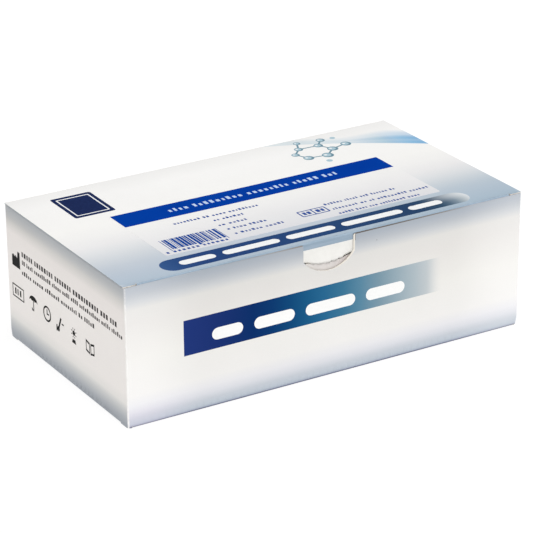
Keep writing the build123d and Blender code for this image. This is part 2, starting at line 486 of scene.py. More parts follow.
# ---- the four side panels ------------------------------------------------
# LONG: the long panels' colours by height, the print's bands; its lowest stops, below 1 mm, are painted shade, a dark
# line for the shadow under the bottom crease.
LONG = [(0.0, colour(70, 76, 104)), (0.6, colour(84, 90, 116)), (1.0, colour(160, 168, 184)), (2.0, colour(178, 187, 197)),
        (4.5, colour(191, 197, 205)), (7.5, colour(212, 214, 220)), (11.0, colour(225, 225, 228)),
        (16.0, colour(232, 231, 229)), (34.0, colour(231, 230, 226)), (52.0, colour(222, 220, 217)),
        (58.5, colour(219, 218, 215)), (62.0, colour(199, 202, 205)), (65.0, colour(182, 187, 193)),
        (67.5, colour(171, 178, 187)), (70.5, colour(163, 171, 180))]
SHORT = [(0.0, colour(172, 178, 186)), (0.7, colour(164, 171, 180)), (2.0, colour(166, 173, 181)), (4.5, colour(177, 183, 190)),
         (6.5, colour(191, 196, 200)), (9.0, colour(209, 212, 213)), (12.0, colour(234, 234, 232)),
         (17.0, colour(243, 241, 239)), (40.0, colour(244, 242, 240)), (57.0, colour(238, 235, 233)),
         (62.0, colour(216, 216, 214)), (65.0, colour(195, 198, 200)), (67.5, colour(182, 187, 191)),
         (70.5, colour(176, 182, 188))]


def side_colour(m):
    long_side = m.span(m.math("ABSOLUTE", m.y), 0.0600, 0.0604, 0.0, 1.0)
    short = m.along(m.z, 0.0, 70.5, SHORT)
    # the upper band reaches a little lower towards the back of the short panels
    deep = m.math("MULTIPLY", m.span(m.y, 0.0, 0.045), m.span(m.math("ABSOLUTE", m.math("SUBTRACT", m.z, 0.0637)), 0.004, 0.0, 0.0, 0.055))
    short = m.mix(1.0, short, m.math("SUBTRACT", 1.0, deep), "MULTIPLY")
    base = m.mix(long_side, short, m.along(m.z, 0.0, 70.5, LONG))
    # lighter towards the right and towards the ends of the long panels, running out to white; a little violet at the
    # lower left
    ends = m.math("MULTIPLY", m.span(m.math("ABSOLUTE", m.x), 0.066, 0.110, 0.0, 1.0), long_side)
    base = m.mix(1.0, base, m.math("ADD", m.span(m.x, -0.06, 0.05, 1.0, 1.018), m.math("MULTIPLY", ends, 0.085)), "MULTIPLY")
    base = m.mix(m.math("MULTIPLY", ends, 0.16), base, colour(250, 250, 252))
    low = m.math("MULTIPLY", m.span(m.z, 0.012, 0.004), m.math("MULTIPLY", m.span(m.x, -0.066, -0.104), long_side))
    base = m.mix(low, base, m.mix(1.0, base, (1.0, 0.955, 1.0, 1.0), "MULTIPLY"))
    wear = m.node("ShaderNodeAttribute", attribute_name="wear").outputs["Fac"]
    patchy = m.span(m.noise(2.2, 4.0, 0.65, shift=21.0), 0.30, 0.62, 0.25, 1.0)
    wear_and_shade = m.math("MULTIPLY", wear, patchy)
    return m.mix(wear_and_shade, base, colour(250, 250, 249))


def sides_print_and_shade():
    m = Mat("sides_print_and_shade")
    return m.finish(side_colour(m))


def print_banner():
    m = Mat("print_banner")
    stops = [(-79.7, colour(30, 52, 118)), (-62.5, colour(24, 47, 110)), (-43.0, colour(3, 44, 101)),
             (-32.0, colour(4, 54, 108)), (-22.0, colour(10, 70, 118)), (-12.0, colour(24, 88, 131)), (-3.5, colour(37, 100, 141)),
             (7.0, colour(57, 114, 146)), (17.0, colour(88, 133, 158)), (27.0, colour(119, 148, 164)),
             (37.5, colour(148, 168, 179)), (48.0, colour(172, 185, 192)), (54.0, colour(188, 196, 200)),
             (63.8, colour(214, 216, 216))]
    base = m.along(m.x, -79.7, 63.8, stops)
    # its right end melts into the panel's own colour
    base = m.mix(m.span(m.x, 0.054, 0.0638), base, side_colour(m))
    return m.finish(base, rough=0.38, spec=0.03)


def plain_ink(name, c, c2=None, rough=0.4, spec=0.03):
    m = Mat(name)
    c2 = c2 or tuple(min(1.0, k * 1.25 + 0.004) for k in c[:3]) + (1.0,)
    blotch = m.span(m.noise(1.3, 3.0, 0.6, shift=31.0), 0.35, 0.75, 0.0, 0.5)
    return m.finish(m.mix(blotch, c, c2), rough=rough, spec=spec)


# ---- the lid ----------------------------------------------------------------
# LID: the lid's colour from front to back. The blue-grey print over the front fold fades out towards the back, and the
# same gradient carries painted shade: the lid darker towards the front, standing for light falling off there.
LID = [(-62.0, colour(155, 172, 187)), (-60.4, colour(170, 185, 199)), (-57.0, colour(178, 193, 207)),
       (-48.0, colour(185, 197, 210)), (-38.0, colour(195, 204, 214)), (-29.0, colour(208, 214, 220)),
       (-20.0, colour(222, 225, 228)), (-11.0, colour(234, 234, 235)), (0.0, colour(241, 241, 240)),
       (12.0, colour(245, 245, 243)), (45.0, colour(245, 245, 244)), (56.0, colour(240, 240, 239)), (61.0, colour(238, 238, 237))]


def lid_base(m):
    base = m.along(m.y, -62.0, 61.0, LID)
    # a little greener towards the right hand end of the front
    right = m.math("MULTIPLY", m.span(m.x, -0.04, 0.10), m.span(m.y, -0.018, -0.043))
    base = m.mix(m.math("MULTIPLY", right, 0.9), base, m.mix(1.0, base, (0.885, 0.935, 0.95, 1.0), "MULTIPLY"))
    wear = m.node("ShaderNodeAttribute", attribute_name="wear").outputs["Fac"]
    patchy = m.span(m.noise(1.8, 4.0, 0.65, shift=23.0), 0.38, 0.66, 0.0, 1.0)
    return m.mix(m.math("MULTIPLY", wear, patchy), base, colour(236, 238, 240))


def lid_print_and_shade():
    m = Mat("lid_print_and_shade")
    return m.finish(lid_base(m))


def sweep_low(x):
    """The sweep's lower edge, millimetres."""
    u = max(0.0, x - 36.0)
    return 59.9 - 0.36 * u - 0.0026 * u * u


def sweep_width(x):
    return 9.5 + 15.5 * smooth((x - 72.0) / 36.0)


def print_sweep():
    """The pale blue sweep across the lid's back right corner, strongest at its right end."""
    m = Mat("print_sweep")
    base = lid_base(m)
    blue = m.along(m.x, 34.0, 110.0, [(34, colour(222, 230, 233)), (56, colour(211, 222, 227)), (64, colour(216, 227, 232)),
                                      (79, colour(211, 223, 231)), (85, colour(196, 213, 226)), (93, colour(173, 202, 219)),
                                      (97, colour(160, 194, 220)), (100, colour(154, 194, 223)), (104, colour(140, 188, 222)),
                                      (107, colour(134, 182, 219)), (110, colour(130, 179, 217))])
    # streaks that follow the sweep's lower edge
    u = m.math("MAXIMUM", m.math("SUBTRACT", m.x, 0.036), 0.0)
    low = m.math("SUBTRACT", m.math("SUBTRACT", 0.0599, m.math("MULTIPLY", u, 0.36)), m.math("MULTIPLY", m.math("MULTIPLY", u, u), 2.6))
    across = m.math("DIVIDE", m.math("SUBTRACT", m.y, low), m.span(m.x, 0.072, 0.108, 0.0095, 0.025))
    grey = lambda v: (v, v, v, 1)
    bands = m.ramp(m.span(across, 0.0, 1.0, kind="LINEAR"),
                   [(0.0, grey(0.86)), (0.05, grey(1.0)), (0.15, grey(1.0)), (0.24, grey(0.86)), (0.31, grey(0.92)), (0.39, grey(1.0)),
                    (0.48, grey(0.9)), (0.56, grey(0.7)), (0.64, grey(0.5)), (0.72, grey(0.46)), (0.8, grey(0.36)),
                    (0.88, grey(0.2)), (1.0, grey(0.0))])
    return m.finish(m.mix(bands, base, blue))


def print_pill():
    m = Mat("print_pill")
    stops = [(-84.8, colour(54, 88, 140)), (-76.6, colour(44, 77, 130)), (-64.0, colour(38, 68, 122)),
             (3.0, colour(38, 70, 117)), (54.0, colour(38, 66, 102)), (67.5, colour(50, 78, 104)),
             (72.0, colour(84, 106, 126)), (76.5, colour(128, 145, 159)), (81.0, colour(178, 188, 194)),
             (85.2, colour(216, 221, 225))]
    base = m.along(m.x, -84.8, 85.2, stops)
    # a shine drawn into the band: lighter along its back edge at the right end
    lift = m.math("MULTIPLY", m.span(m.x, 0.060, 0.080), m.span(m.y, -0.053, -0.045))
    base = m.mix(m.math("MULTIPLY", lift, 0.4), base, colour(236, 239, 241))
    return m.finish(base, rough=0.38, spec=0.03)


# ---- bare board ---------------------------------------------------------------
def board_white():
    m = Mat("board_white")
    c = m.mix(m.span(m.noise(3.0, 4.0, 0.6, shift=41.0), 0.3, 0.7), colour(242, 240, 236), colour(246, 245, 242))
    return m.finish(c, rough=0.5, fibre=0.006)


def board_inside():
    m = Mat("board_inside")
    c = m.mix(m.span(m.noise(1.4, 5.0, 0.7, stretch=(0.4, 1, 1), shift=43.0), 0.3, 0.7),
              colour(221, 218, 211), colour(231, 229, 223))
    specks = m.span(m.noise(0.5, 2.0, 0.6, shift=47.0), 0.70, 0.78, 0.0, 0.35)
    return m.finish(m.mix(specks, c, colour(176, 168, 155)), rough=0.78, rough_var=0.05, spec=0.25, fibre=0.02, mottle=0.02)


def cut_edge(name="cut_edge", a=(206, 198, 183), b=(176, 166, 150)):
    m = Mat(name)
    plies = m.noise(0.16, 3.0, 0.6, stretch=(0.08, 0.08, 1.0), shift=51.0)
    c = m.mix(m.span(plies, 0.35, 0.65), colour(*a), colour(*b))
    return m.finish(c, rough=0.85, rough_var=0.05, spec=0.2, fibre=0.02, mottle=0.03)


def raw_edge_gap_shade():
    """A raw cut edge darkened with painted shade, the shadow of the gap under the lid's fold: darkest to the right of
    the notch, fainter along the rest.
    """
    m = Mat("raw_edge_gap_shade")
    c = m.along(m.x, -110.0, 110.0, [(-110, colour(190, 194, 200)), (-62, colour(168, 175, 184)), (-32, colour(158, 158, 160)),
                                     (-16, colour(142, 134, 128)), (12, colour(104, 94, 86)), (46, colour(116, 108, 102)),
                                     (66, colour(146, 141, 139)), (82, colour(174, 178, 186)), (110, colour(188, 193, 201))])
    return m.finish(c, rough=0.85, rough_var=0.05, spec=0.1, fibre=0.02, mottle=0.05)


# =========================================================================
#  carton body: glue flap | back | left | front | right, with its flaps
# =========================================================================
# runs of the tube seen from above, followed anticlockwise from the glue flap's free edge
RUNS = []


def add_run(name, kind, length, data):
    s0 = RUNS[-1][3] if RUNS else 0.0
    RUNS.append((name, kind, s0, s0 + length, data))


add_run("glue", "line", 14.65, (108.95, 45.5, 0, 1))
add_run("c_br", "arc", QUARTER, (108.35, 60.15, 0))
add_run("back", "line", 217.2, (108.35, 60.75, -1, 0))
add_run("c_bl", "arc", QUARTER, (-108.85, 60.15, 90))
add_run("left", "line", 120.3, (-109.45, 60.15, 0, -1))
add_run("c_fl", "arc", QUARTER, (-108.85, -60.15, 180))
add_run("front", "line", 217.7, (-108.85, -60.75, 1, 0))
add_run("c_fr", "arc", QUARTER, (108.85, -60.15, 270))
add_run("right", "line", 120.15, (109.45, -60.15, 0, 1))
RUN = {r[0]: r for r in RUNS}
S_END = RUNS[-1][3]


def s_of(name, x, y):
    """Distance along the blank of a point of that panel."""
    _, _, s0, _, (px, py, tx, ty) = RUN[name]
    return s0 + (x - px) * tx + (y - py) * ty


def run_at(s):
    for r in RUNS:
        if s <= r[3]:
            return r
    return RUNS[-1]


# how each flap is folded: distance inward from the panel's middle plane, and height
Z0, LAYER = 0.25, 0.65
Z1, Z2, Z3 = Z0 + LAYER, Z0 + 2 * LAYER, Z0 + 3 * LAYER
B_REF = 5.0                     # the bottom paths start this high on the panel
FOLDS = {
    "front": Path([(0, B_REF), (0, Z0), (57.25, Z0), (64.25, Z3), (82.5, Z3)], [RM, 1.5, 1.5]),
    "back": Path([(0, B_REF), (0, Z0), (1.95, Z0), (6.25, Z2), (76.0, Z2)], [RM, 1.0, 1.5]),
    "left": Path([(0, B_REF), (0, Z0), (1.65, Z0), (4.65, Z1), (50.5, Z1)], [RM, 1.0, 1.5]),
    "right": Path([(0, B_REF), (0, Z0), (1.65, Z0), (4.65, Z1), (50.5, Z1)], [RM, 1.0, 1.5]),
}
DUST_Z = 69.65
DUST = Path([(0, 60.0), (0, DUST_Z), (40.0, DUST_Z - 0.35), (58.0, DUST_Z - 1.1)], [RM, 60.0])


def b_bottom(name, inward):
    """Height on the blank (negative below the crease) of a point of a bottom flap."""
    path = FOLDS[name]
    return B_REF - path.length_at(inward, 0, 4.2, path.length)


def b_dust(inward):
    return 60.0 + DUST.length_at(inward, 0, 9.1, DUST.length)


B_IN = 0.85                     # above this the panel is straight
B_RELIEF = 0.9
DUST_IN = 69.05


def panel_sag(name, s, b):
    """How far a panel has drawn in, millimetres."""
    _, kind, s0, s1, _ = RUN[name]
    if kind == "arc":
        return 0.0
    u = (s - s0) / (s1 - s0)
    if b < 0.85 or b > 69.0:
        if name in ("left", "right") or b < 0.85:
            return 0.0
    w = min(1.0, max(0.0, b / 69.0))
    if name == "front":
        d = 0.34 * hump(u) ** 0.8 * hump(w) * (1 - 0.5 * smooth((b - 45) / 20))
        d += 0.05 * hump(u) * smooth(b / 10) * (0.5 + 0.5 * math.sin(u * 23.0 + b * 0.11)) * hump(w)
    elif name == "back":
        d = 0.30 * hump(u) * hump(w)
    elif name in ("left", "right"):
        d = 0.42 * hump(u) * hump(w) + 0.05 * hump(w) * hump(u) * (1 + math.sin(u * 11.0 - b * 0.09))
    else:
        d = 0.0
    return d


# corners that have been knocked: place, reach, how far each is pushed in
KNOCKS = [((-109.7, 61.0, 0.4), 2.4, (0.40, -0.35, 0.25)),
          ((109.7, -61.0, 0.0), 2.6, (-0.55, 0.5, 0.5)),
          ((-109.7, -61.0, 0.0), 1.6, (0.25, 0.35, 0.35)),
          ((109.7, 61.0, 0.0), 2.2, (-0.3, -0.3, 0.3)),
          ((-109.7, -61.0, 70.0), 1.8, (0.18, 0.2, -0.22))]


def knocked(p):
    for centre, reach, push in KNOCKS:
        d = math.dist(p, centre) / reach
        if d < 1:
            p = p + np.array(push) * (1 - smooth(d))
    return p


def body_zone(s, b):
    r = run_at(s)[0]
    if b < B_IN - 1e-6 and r in FOLDS:
        lo, hi = FLAP_SPAN[r]
        if lo - 0.01 <= s <= hi + 0.01:
            return r, "bottom"
    if b > DUST_IN + 1e-6 and r in ("left", "right"):
        lo, hi = DUST_SPAN[r]
        if lo - 0.01 <= s <= hi + 0.01:
            return r, "dust"
    return r, "panel"


def body_place(s, b, z):
    name, part = z
    _, kind, s0, s1, data = RUN[name]
    if kind == "arc":
        cx, cy, a0 = data
        a = math.radians(a0) + (s - s0) / RM
        return knocked(np.array([cx + RM * math.cos(a), cy + RM * math.sin(a), b]))
    px, py, tx, ty = data
    x, y = px + (s - s0) * tx, py + (s - s0) * ty
    nx, ny = ty, -tx
    if part == "bottom":
        (d, h), _ = FOLDS[name].at(B_REF - b)
    elif part == "dust":
        (d, h), _ = DUST.at(b - 60.0)
    else:
        d, h = panel_sag(name, s, b), b
    return knocked(np.array([x - nx * d, y - ny * d, h]))


# ---- outline of the blank -------------------------------------------------------
def plan(name, pts):
    """Points of a flap given in plan, as points of the blank."""
    out = []
    for x, y in pts:
        s = s_of(name, x, y)
        if name == "front":
            d = y + 60.75
        elif name == "back":
            d = 60.75 - y
        elif name == "left":
            d = x + 109.45
        else:
            d = 109.45 - x
        out.append((s, b_bottom(name, d)))
    return out


def edge_pair(name, coords):
    return tuple(sorted(s_of(name, x, y) for x, y in coords))


FLAP_SPAN = {
    "front": edge_pair("front", [(-107.35, -60.75), (107.35, -60.75)]),
    "back": edge_pair("back", [(-107.35, 60.75), (107.35, 60.75)]),
    "left": edge_pair("left", [(-109.45, -53.35), (-109.45, 53.35)]),
    "right": edge_pair("right", [(109.45, -53.35), (109.45, 53.35)]),
}
DUST_SPAN = {
    "left": edge_pair("left", [(-109.45, -58.4), (-109.45, 58.8)]),
    "right": edge_pair("right", [(109.45, -58.4), (109.45, 58.8)]),
}

flap_outline = {
    "back": plan("back", [(106.0, 54.0), (104.0, -8.0), (98.0, -14.0), (72.0, -14.0), (62.0, -4.0),
                          (57.0, 5.5), (-57.0, 5.5), (-62.0, -4.0), (-72.0, -14.0), (-98.0, -14.0),
                          (-104.0, -8.0), (-106.0, 54.0)]),
    "left": plan("left", [(-104.0, 53.2), (-66.0, 50.0), (-60.0, 44.0), (-60.0, -18.0),
                          (-66.0, -24.0), (-98.0, -44.0), (-104.0, -53.2)]),
    "front": plan("front", [(-104.3, -55.0), (-104.3, -9.0), (-100.0, -5.0), (-54.0, -5.0),
                            (-52.0, -3.0), (-49.0, 12.0), (-44.0, 20.5), (44.0, 20.5), (49.0, 12.0),
                            (52.0, -3.0), (54.0, -5.0), (100.0, -5.0), (104.3, -9.0), (104.3, -55.0)]),
    "right": plan("right", [(104.0, -53.2), (98.0, -44.0), (66.0, -24.0), (60.0, -18.0), (60.0, 44.0),
                            (66.0, 50.0), (104.0, 53.2)]),
}

low = [(0.0, 7.5), (RUN["glue"][3], 1.5)]
for name in ("back", "left", "front", "right"):
    lo, hi = FLAP_SPAN[name]
    b_start = 0.0
    if name == "back":
        low += [(RUN["c_br"][2] + 0.02, b_start)]
    low += [(lo - 0.3, b_start), (lo - 0.3, B_RELIEF - 0.1), (lo - 0.15, B_RELIEF), (lo, B_RELIEF - 0.1)]
    low += [(lo, b_bottom(name, 1.5))]
    low += flap_outline[name]
    low += [(hi, b_bottom(name, 1.5))]
    low += [(hi, B_RELIEF - 0.1), (hi + 0.15, B_RELIEF), (hi + 0.3, B_RELIEF - 0.1), (hi + 0.3, b_start)]
low += [(S_END, 0.0)]


def dust_points(name):
    side = -1 if name == "left" else 1
    pts = [(106.0, 57.5), (58.0, 54.0), (52.7, 48.0), (52.7, -41.0), (58.0, -47.0), (95.0, -53.0),
           (100.0, DUST_F), (107.0, DUST_F)]
    if name == "left":
        pts = pts[::-1]
    out = []
    for x, y in pts:
        out.append((s_of(name, side * 109.45, y), b_dust(109.45 - x)))
    return out


DUST_F = -58.4
NOTCH_X = -1.5
nx0, nx1, nz, nsag = NOTCH_X - 13.9, NOTCH_X + 13.9, 61.65, 7.2
arc_r = ((nx1 - nx0) ** 2 / 4 + nsag ** 2) / (2 * nsag)
arc_c = (NOTCH_X, nz - nsag + arc_r)
half_a = math.asin((nx1 - nx0) / 2 / arc_r)
notch = [(NOTCH_X + arc_r * math.sin(half_a - 2 * half_a * k / 22), arc_c[1] - arc_r * math.cos(half_a - 2 * half_a * k / 22))
         for k in range(23)]
notch_arc = list(notch)
notch = [(nx1, PANEL_TOP - 0.5), (nx1, nz + 4)] + notch + [(nx0, nz + 4), (nx0, PANEL_TOP - 0.5)]

high = [(S_END, 69.05)]
lo, hi = DUST_SPAN["right"]
high += [(hi + 0.15, 69.05), (hi, 69.2)] + dust_points("right") + [(lo, 69.2), (lo - 0.15, 69.05), (lo - 0.3, 69.1)]
high += [(lo - 0.3, 69.6), (RUN["right"][2], PANEL_TOP)]
high += [(s_of("front", nx1 + 0.5, -60.75), PANEL_TOP)]
high += [(s_of("front", x, -60.75), z) for x, z in notch]
high += [(s_of("front", nx0 - 0.5, -60.75), PANEL_TOP), (RUN["front"][2], PANEL_TOP), (RUN["c_fl"][2], PANEL_TOP)]
lo, hi = DUST_SPAN["left"]
high += [(hi + 0.3, 69.6), (hi + 0.3, 69.1), (hi + 0.15, 69.05), (hi, 69.2)] + dust_points("left")
high += [(lo, 69.2), (lo - 0.15, 69.05), (lo - 0.3, 69.1), (lo - 0.3, 69.6), (RUN["c_bl"][3], PANEL_TOP)]
CREASE_HALF = 108.2
high += [(s_of("back", -CREASE_HALF - 0.25, 60.75), PANEL_TOP), (s_of("back", -CREASE_HALF, 60.75), 69.3),
         (s_of("back", CREASE_HALF - 0.1, 60.75), 69.3), (s_of("back", CREASE_HALF, 60.75), PANEL_TOP),
         (RUN["c_br"][2] + 0.02, PANEL_TOP), (RUN["glue"][3], 68.0), (0.0, 62.0)]
body_outline = low + high

body_creases = []
for r in RUNS:
    if r[1] == "arc":
        for k in range(7):
            s = r[2] + (r[3] - r[2]) * k / 6
            top = 68.3 if r[0] == "c_br" and k == 0 else PANEL_TOP
            bot = 1.2 if r[0] == "c_br" and k == 0 else 0.0
            body_creases.append([(s, bot), (s, top)])
for name, path in FOLDS.items():
    lo, hi = FLAP_SPAN[name]
    for l in path.marks:
        b = B_REF - l
        inset = 0.0 if b > -0.2 else 0.0
        body_creases.append([(lo + inset, b), (hi - inset, b)])
for name in ("left", "right"):
    lo, hi = DUST_SPAN[name]
    for l in [m for m in DUST.marks if m < 12]:
        body_creases.append([(lo, 60 + l), (hi, 60 + l)])


def body_wear(s, b):
    r = run_at(s)
    w = 0.0
    if r[1] == "arc" and 0 <= b <= 70:
        t = (s - r[2]) / (r[3] - r[2])
        w = hump(t) * (1.0 if r[0] == "c_fl" else 0.35) * (1 - 0.5 * smooth((b - 58) / 10))
    return w


# ---- print areas of the body -----------------------------------------------------
rng = np.random.default_rng(12)


def letter_blocks(x0, x1, y, h, words, tall=0.0, gap=0.2, space=0.75, width=(0.5, 0.78)):
    """Rows of small upright blocks that fill a line where lettering would be."""
    out, widths = [], []
    for n in words:
        widths.append([rng.uniform(*width) * h for _ in range(n)])
    total = sum(sum(w) + gap * h * (len(w) - 1) for w in widths) + space * h * (len(words) - 1)
    k = (x1 - x0) / total
    x = x0
    for w in widths:
        for i, c in enumerate(w):
            top = h if (tall == 0.0 or rng.uniform() > tall) else h * 0.72
            out.append(rect(x, y, x + c * k, y + top))
            x += (c + (gap * h if i < len(w) - 1 else 0)) * k
        x += space * h * k
    return out


def word_strokes(x0, x1, y, h, words, space=1.1):
    """One rounded stroke for each word, for a line of large type."""
    total = sum(words) + space * (len(words) - 1)
    k, x, out = (x1 - x0) / total, x0, []
    for n in words:
        out.append(rounded(x, y, x + n * k, y + h, h / 2 - 0.01, 8))
        x += (n + space) * k
    return out


M_SIDE, M_BANNER, M_WORD, M_BLACK, M_WHITE, M_INSIDE, M_EDGE, M_GREY, M_RAW_GAP_SHADE, M_LIP = range(10)


def on_front(poly):
    return [(s_of("front", x, -60.75), z) for x, z in poly]


def on_left(poly):
    """Poly in (distance to the reader's right, height)."""
    return [(s_of("left", -109.45, -u), z) for u, z in poly]


body_art = [(on_front(rect(-79.7, 29.1, 63.8, 46.9)), M_BANNER)]
for p in word_strokes(-64.7, 41.9, 33.4, 6.0, [3, 4, 5, 4]):
    body_art.append((on_front(p), M_WORD))

# left panel: a block with a stepped top, three lines, and a row of plain handling pictograms
body_art.append((on_left([(-55.5, 40.0), (-47.1, 40.0), (-47.1, 48.8), (-49.4, 48.8), (-49.9, 45.2), (-51.9, 46.3),
                          (-52.2, 45.3), (-54.2, 46.4), (-54.4, 45.5), (-55.5, 45.9)]), M_BLACK))
for (u0, u1, z, words) in ((-44.8, 52.5, 49.0, [5, 8, 7, 10, 3, 3]), (-44.8, 57.6, 44.7, [2, 4, 9, 5, 4, 4, 11, 5, 6]),
                           (-45.3, 29.5, 39.3, [5, 5, 7, 8, 2, 5])):
    first = z > 48.0
    h = 2.6 if first else 2.3
    for p in letter_blocks(u0, u1, z - h / 2, h, words, tall=0.0 if first else 0.6, gap=0.28, space=0.7, width=(0.36, 0.6)):
        body_art.append((on_left(p), M_GREY))

PZ = 26.9


def ink(poly):
    body_art.append((on_left(poly), M_BLACK))


def bare(poly):
    body_art.append((on_left(poly), M_SIDE))


# frame with three plain strokes
ink(rect(-56.5, 23.4, -44.3, 30.3))
bare(rect(-55.8, 24.1, -45.0, 29.6))
for k, w in enumerate((1.5, 1.1, 1.5)):
    ink(rect(-53.9 + k * 2.6, 25.2, -53.9 + k * 2.6 + w, 28.5))
# umbrella
cx, cz = -34.2, 27.9
canopy = [(cx + 4.3 * math.cos(math.radians(a)), cz + 2.9 * math.sin(math.radians(a))) for a in range(0, 181, 15)]
canopy += [(cx - 2.9, cz + 0.7), (cx - 1.45, cz), (cx, cz + 0.7), (cx + 1.45, cz), (cx + 2.9, cz + 0.7)]
ink(canopy)
ink(rect(cx - 0.38, 23.4, cx + 0.38, cz + 0.7))
ink([(cx + 0.38, 22.9), (cx + 0.38, 23.7), (cx - 1.0, 23.7), (cx - 1.2, 24.3), (cx - 2.0, 24.3), (cx - 1.8, 22.9)])
# ring with a clock hand
cx = -19.9
ink(disc(cx, PZ, 4.1, 28))
bare(disc(cx, PZ, 3.1, 26))
ink(rect(cx - 0.45, PZ - 0.4, cx + 0.45, PZ + 2.4))
ink(rect(cx + 0.35, PZ - 0.4, cx + 2.0, PZ + 0.4))
# thermometer between two marks
cx, cz = -6.6, 26.5
ink(bar(cx - 1.2, cz - 2.2, cx + 1.3, cz + 3.6, 1.35))
ink(disc(cx - 1.5, cz - 2.9, 1.3, 16))
ink(rect(cx - 3.7, cz - 4.4, cx - 2.6, cz - 1.0))
ink(rect(cx + 1.9, cz + 0.5, cx + 4.0, cz + 1.3))
# sun over a block
cx, cz = 8.0, 27.6
ink(disc(cx, cz, 1.35, 18))
for k in range(8):
    a = math.radians(45 * k + 22.5)
    ink(bar(cx + 1.7 * math.cos(a), cz + 1.7 * math.sin(a), cx + 2.75 * math.cos(a), cz + 2.75 * math.sin(a), 0.55))
ink([(cx - 2.1, 22.3), (cx + 2.1, 22.3), (cx + 1.4, 24.3), (cx - 1.4, 24.3)])
# open book
cx, cz = 24.6, 26.4
for k in (-1, 1):
    ink([(cx + k * 0.3, cz - 3.5), (cx + k * 4.3, cz - 2.6), (cx + k * 4.3, cz + 3.3), (cx + k * 0.3, cz + 2.4)])
    bare([(cx + k * 0.95, cz - 2.35), (cx + k * 3.65, cz - 1.7), (cx + k * 3.65, cz + 2.05), (cx + k * 0.95, cz + 1.4)])
# a speck in the print near the notch
body_art.append((on_front(disc(25.5, 63.9, 0.2, 8)), M_GREY))
# painted shade along the upper edge, for the shadow of the gap under the lid's fold, with a thin painted dark line down
# beside the notch; and the notch's bare right hand side
body_art.append((on_front([(nx1 + 0.9, 69.6), (108.0, 69.8), (108.0, 70.2), (nx1 + 0.9, 70.2)]), M_RAW_GAP_SHADE))
body_art.append((on_front([(-60.0, 69.85), (nx0, 69.62), (nx0, 70.2), (-60.0, 70.2)]), M_RAW_GAP_SHADE))
body_art.append((on_front(rect(nx1 + 0.8, 66.4, nx1 + 1.05, 69.6)), M_RAW_GAP_SHADE))
lip = [(nx1 - 0.1, 70.2), (nx1 - 0.1, nz + 4)] + [(x * 1.0, z) for x, z in notch_arc[:13]]
lip += [(x + w * dx, z + w * dz) for (x, z), (dx, dz), w in
        [(notch_arc[k], (math.sin(half_a - 2 * half_a * k / 22), -math.cos(half_a - 2 * half_a * k / 22)), 0.12 + 0.68 * (1 - smooth(k / 11.0)))
         for k in range(12, -1, -1)]]
lip += [(nx1 + 0.8, nz + 1.0), (nx1 + 0.8, 70.2)]
body_art.append((on_front(lip), M_LIP))

DUST_BLEED = b_dust(4.5)


def body_base(s, b):
    if b > DUST_BLEED or b < -0.1:
        return M_WHITE
    if s < RUN["glue"][3] - 2.0:
        return M_WHITE
    return M_SIDE


isl = Islands()
S2 = 2.98
isl.add("A0", RUN["c_br"][2], -0.6, RUN["left"][3] + 0.5, 70.0, S2)
isl.add("B0", RUN["left"][3] + 0.5, -0.6, S_END, 70.0, S2)
K1, K2 = 1.55, 0.92
isl.add("dust_l0", DUST_SPAN["left"][0], 69.0, DUST_SPAN["left"][1], 128.5, K1)
isl.add("dust_r0", DUST_SPAN["right"][0], 69.0, DUST_SPAN["right"][1], 128.5, K1)
isl.add("bot_f0", FLAP_SPAN["front"][0], -83.5, FLAP_SPAN["front"][1], 1.0, K1)
isl.add("bot_b0", FLAP_SPAN["back"][0], -77.0, FLAP_SPAN["back"][1], 1.0, K1)
isl.add("bot_l0", FLAP_SPAN["left"][0], -52.5, FLAP_SPAN["left"][1], 1.0, K1)
isl.add("bot_r0", FLAP_SPAN["right"][0], -52.5, FLAP_SPAN["right"][1], 1.0, K1)
isl.add("glue0", -0.1, 0.0, RUN["c_br"][2] + 0.1, 70.0, 1.0)
isl.add("tube1", -0.1, -0.6, S_END, 70.0, K2)
isl.add("dust_l1", DUST_SPAN["left"][0], 69.0, DUST_SPAN["left"][1], 128.5, K2)
isl.add("dust_r1", DUST_SPAN["right"][0], 69.0, DUST_SPAN["right"][1], 128.5, K2)
isl.add("bot_f1", FLAP_SPAN["front"][0], -83.5, FLAP_SPAN["front"][1], 1.0, K2)
isl.add("bot_b1", FLAP_SPAN["back"][0], -77.0, FLAP_SPAN["back"][1], 1.0, K2)
isl.add("bot_l1", FLAP_SPAN["left"][0], -52.5, FLAP_SPAN["left"][1], 1.0, K2)
body_map_top = isl.add("bot_r1", FLAP_SPAN["right"][0], -52.5, FLAP_SPAN["right"][1], 1.0, K2)


def body_uv(pts, mid, side):
    s, b = mid
    r = run_at(s)[0]
    key = "1" if side == 1 else "0"
    if b > DUST_IN and r in ("left", "right") and DUST_SPAN[r][0] < s < DUST_SPAN[r][1]:
        name = "dust_" + r[0]
    elif b < B_IN and r in FLAP_SPAN and FLAP_SPAN[r][0] < s < FLAP_SPAN[r][1]:
        name = "bot_" + {"front": "f", "back": "b", "left": "l", "right": "r"}[r]
    elif key == "1":
        name = "tube"
    elif s < RUN["c_br"][2]:
        name = "glue"
    else:
        name = "A" if s < RUN["left"][3] + 0.5 else "B"
    out = isl.place(name + key, pts)
    if side == 2:       # the cut edge is a thin strip beside its own line
        out = [out[0], out[1], (out[2][0], out[2][1] + 0.001), (out[3][0], out[3][1] + 0.001)]
    return out


def body_edge(s, b):
    """The panels' raw top edges are darkened with painted shade, the shadow of the gap under the lid's fold; the other
    cuts are clean board.
    """
    return M_RAW_GAP_SHADE if PANEL_TOP - 0.3 < b < PANEL_TOP + 0.1 else M_EDGE


body = Sheet("carton_board", body_outline, [], body_creases, body_art, body_place, body_zone,
             body_base, M_INSIDE, body_edge, wear=body_wear, uv=body_uv)

